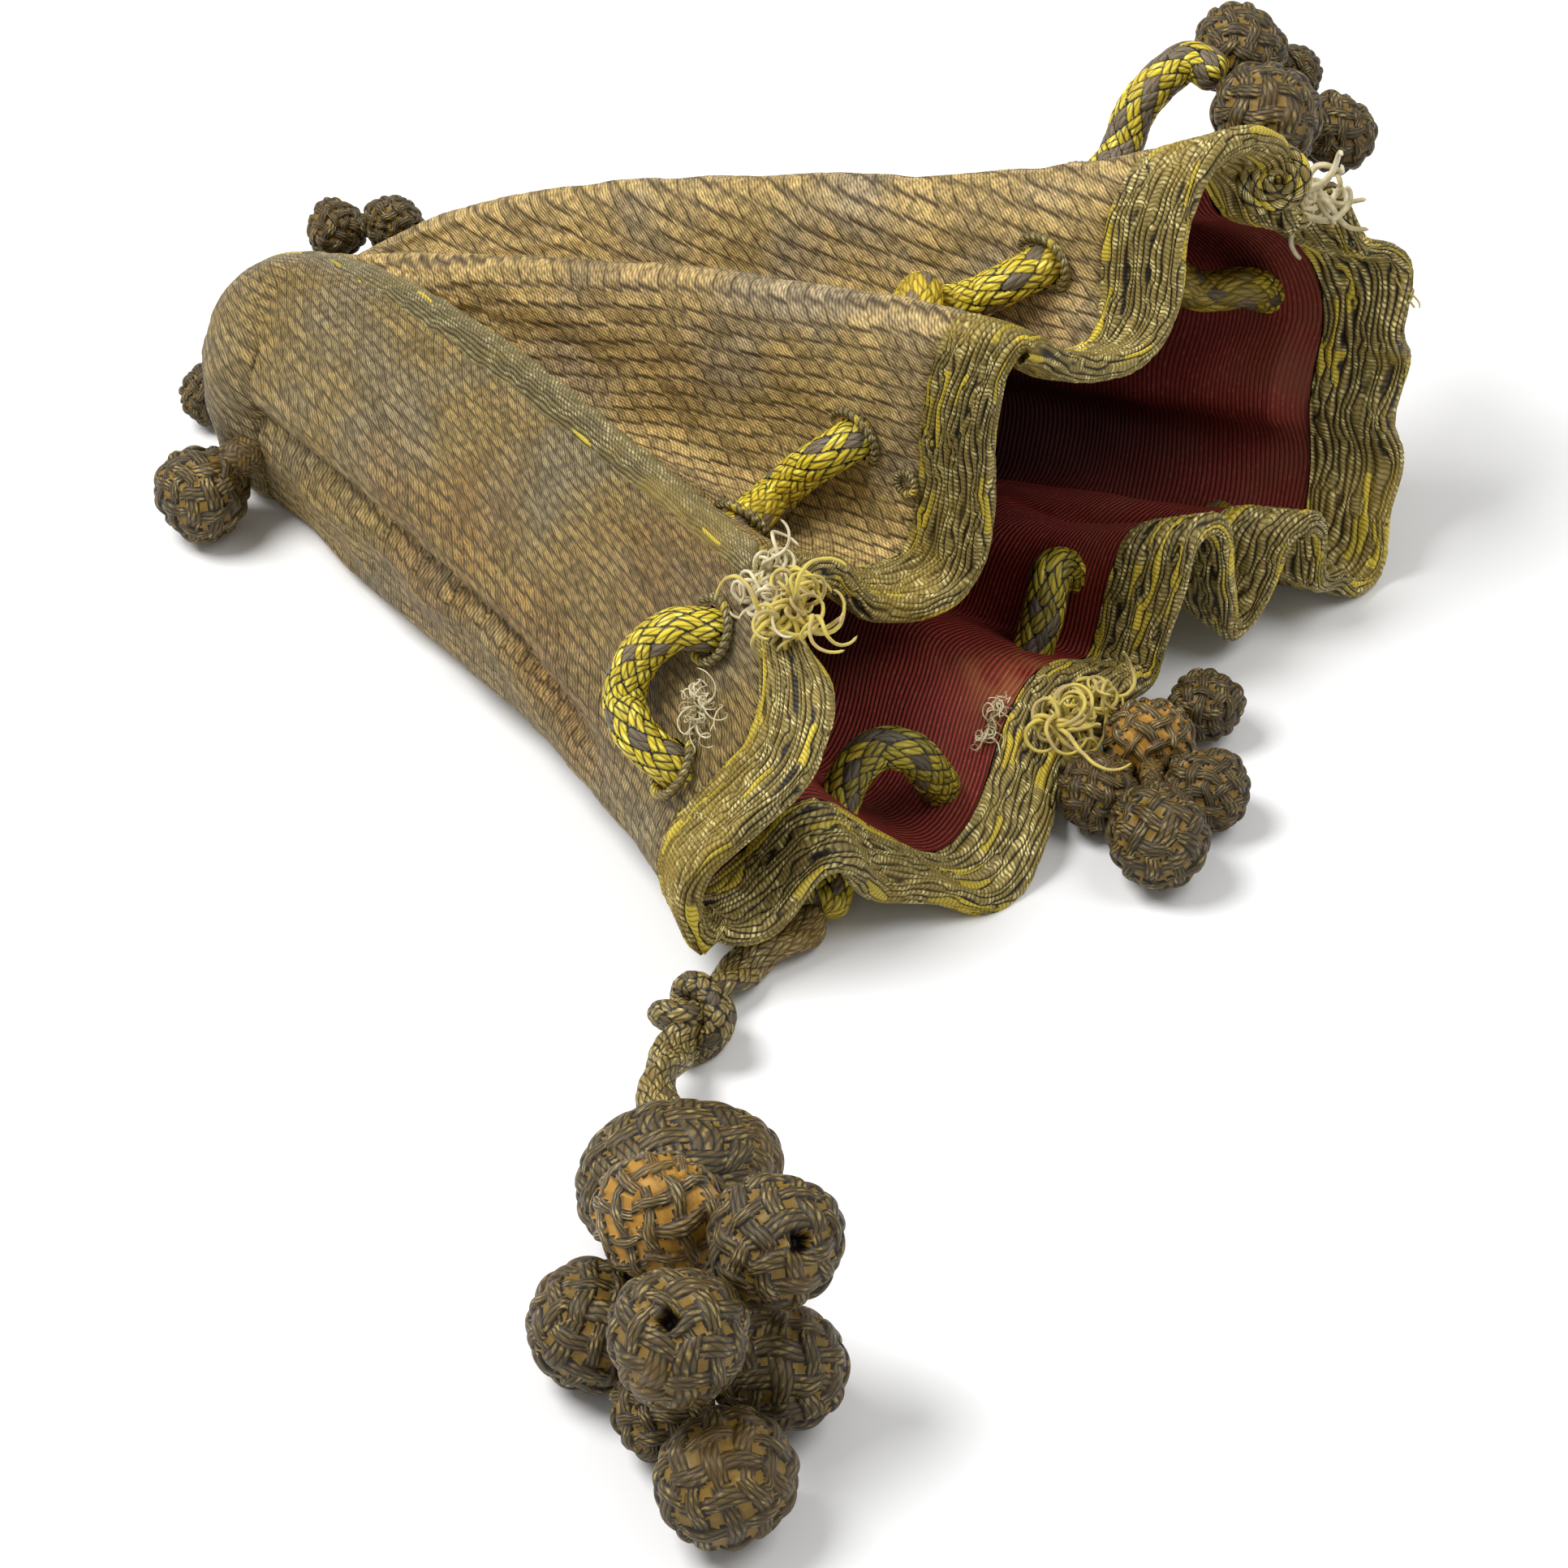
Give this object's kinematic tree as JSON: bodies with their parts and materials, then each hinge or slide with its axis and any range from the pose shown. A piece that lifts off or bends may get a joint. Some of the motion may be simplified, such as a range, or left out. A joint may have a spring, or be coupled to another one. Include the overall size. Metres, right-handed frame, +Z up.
{
  "type": "drawstring pouch",
  "caption": "Small drawstring pouch of metal-thread cloth with a ribbed silk lining, lying on its side with its mouth open and plaited ball pendants on its cord.",
  "frame": {"origin": "middle of the flat stretch of cloth that the pouch lies on, on the surface below it", "axes": "+X from the closed base towards the open mouth, +Y towards the raised far side, +Z up"},
  "size_m": [0.1489, 0.1945, 0.0587],
  "materials": {
    "panel_near": "woven metal thread",
    "panel_back": "woven metal thread",
    "panel_under": "woven metal thread",
    "rim_trim": "couched metal thread",
    "seam_braid_near": "couched metal thread",
    "seam_braid_far": "couched metal thread",
    "seam_braid_low": "couched metal thread",
    "lining": "ribbed silk",
    "drawstring": "braided silk and metal thread",
    "far_drawstring": "braided silk and metal thread",
    "tail": "braided silk and metal thread",
    "tail_knot": "braided silk and metal thread",
    "near_core": "braided silk and metal thread",
    "near_head": "plaited metal thread",
    "near_ball_left": "plaited metal thread",
    "near_ball_right": "plaited metal thread",
    "near_ball_end": "plaited metal thread",
    "near_ball_low": "plaited metal thread",
    "near_ball_high": "plaited metal thread",
    "near_ball_amber": "plaited metal thread",
    "near_ball_middle": "plaited metal thread",
    "right_head": "plaited metal thread",
    "right_ball_front": "plaited metal thread",
    "right_ball_side": "plaited metal thread",
    "right_ball_left": "plaited metal thread",
    "right_ball_back": "plaited metal thread",
    "far_body": "plaited metal thread",
    "far_ball_top": "plaited metal thread",
    "far_ball_right": "plaited metal thread",
    "far_ball_back": "plaited metal thread",
    "base_ball_near": "plaited metal thread",
    "base_ball_small": "plaited metal thread",
    "base_ball_far": "plaited metal thread",
    "base_ball_end": "plaited metal thread"
  },
  "bodies": {
    "root": {"panel_near": "panel_near", "panel_back": "panel_back", "panel_under": "panel_under", "rim_trim": "rim_trim", "seam_braid_near": "seam_braid_near", "seam_braid_far": "seam_braid_far", "seam_braid_low": "seam_braid_low", "lining": "lining", "drawstring": "drawstring", "far_drawstring": "far_drawstring", "tail": "tail", "tail_knot": "tail_knot", "near_core": "near_core", "near_head": "near_head", "near_ball_left": "near_ball_left", "near_ball_right": "near_ball_right", "near_ball_end": "near_ball_end", "near_ball_low": "near_ball_low", "near_ball_high": "near_ball_high", "near_ball_amber": "near_ball_amber", "near_ball_middle": "near_ball_middle", "right_head": "right_head", "right_ball_front": "right_ball_front", "right_ball_side": "right_ball_side", "right_ball_left": "right_ball_left", "right_ball_back": "right_ball_back", "far_body": "far_body", "far_ball_top": "far_ball_top", "far_ball_right": "far_ball_right", "far_ball_back": "far_ball_back", "base_ball_near": "base_ball_near", "base_ball_small": "base_ball_small", "base_ball_far": "base_ball_far", "base_ball_end": "base_ball_end"}
  },
  "joints": []
}
